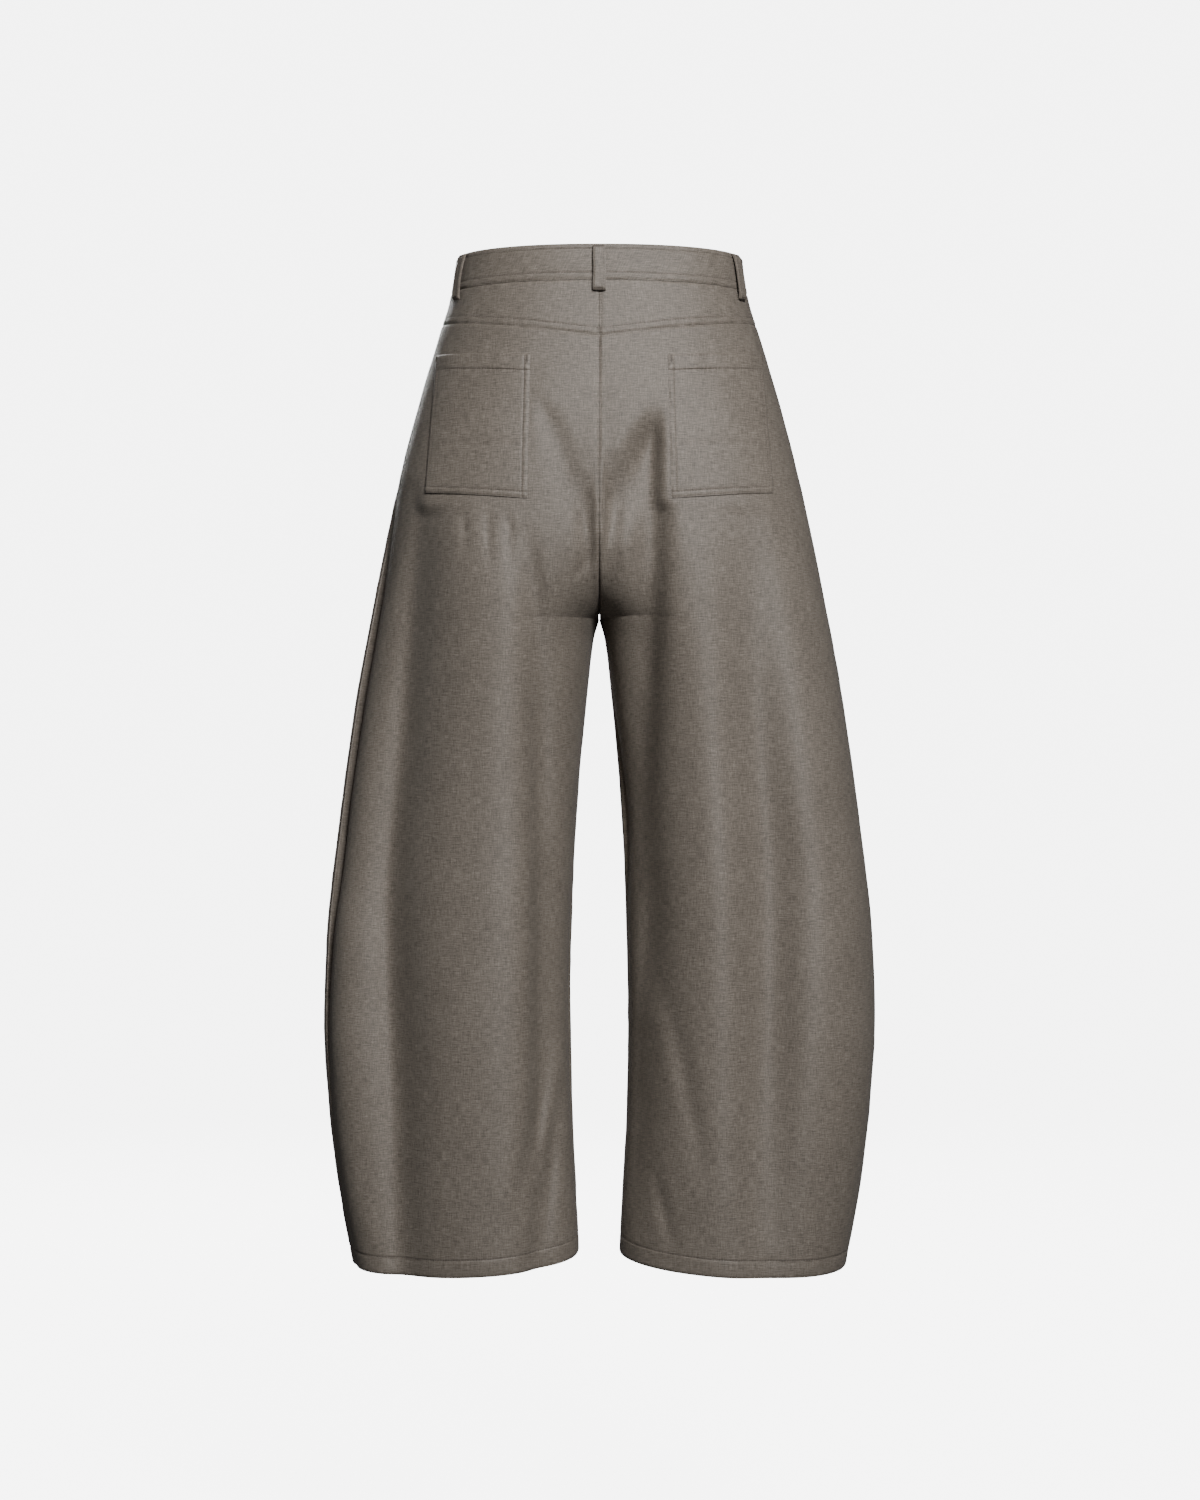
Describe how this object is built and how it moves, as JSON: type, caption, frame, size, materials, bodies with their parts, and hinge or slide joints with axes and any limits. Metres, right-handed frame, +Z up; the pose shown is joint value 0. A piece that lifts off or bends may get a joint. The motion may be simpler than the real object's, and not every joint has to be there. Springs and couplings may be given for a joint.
{
  "type": "barrel leg trousers",
  "caption": "High-waisted barrel leg trousers with curved side seams, back yoke, patch pockets, belt loops, front fly and turned-up inner hems, held hollow as worn.",
  "frame": {"origin": "centre of the waistband's ring, at half its height, where a wearer's waist holds the garment", "axes": "+Z up towards the waist, -Y out of the front with the fly, +Y out of the back with the pockets, +X towards the wearer's left leg"},
  "size_m": [0.5506, 0.2361, 1.0124],
  "materials": {
    "suiting": "fine plain-weave wool blend with a soft satin sheen",
    "zip_tape": "woven polyester tape",
    "zip_metal": "nickel plated",
    "button_resin": "satin polished resin"
  },
  "bodies": {
    "root": {"back_left": "suiting", "back_right": "suiting", "front_left": "suiting", "front_right": "suiting", "yoke_left": "suiting", "yoke_right": "suiting", "waistband": "suiting", "back_pocket_left": "suiting", "back_pocket_right": "suiting", "belt_loop_centre_back": "suiting", "belt_loop_back_left": "suiting", "belt_loop_back_right": "suiting", "belt_loop_front_left": "suiting", "belt_loop_front_right": "suiting", "fly_zip": "zip_tape", "zip_slider": "zip_metal", "waist_button": "button_resin"}
  },
  "joints": []
}
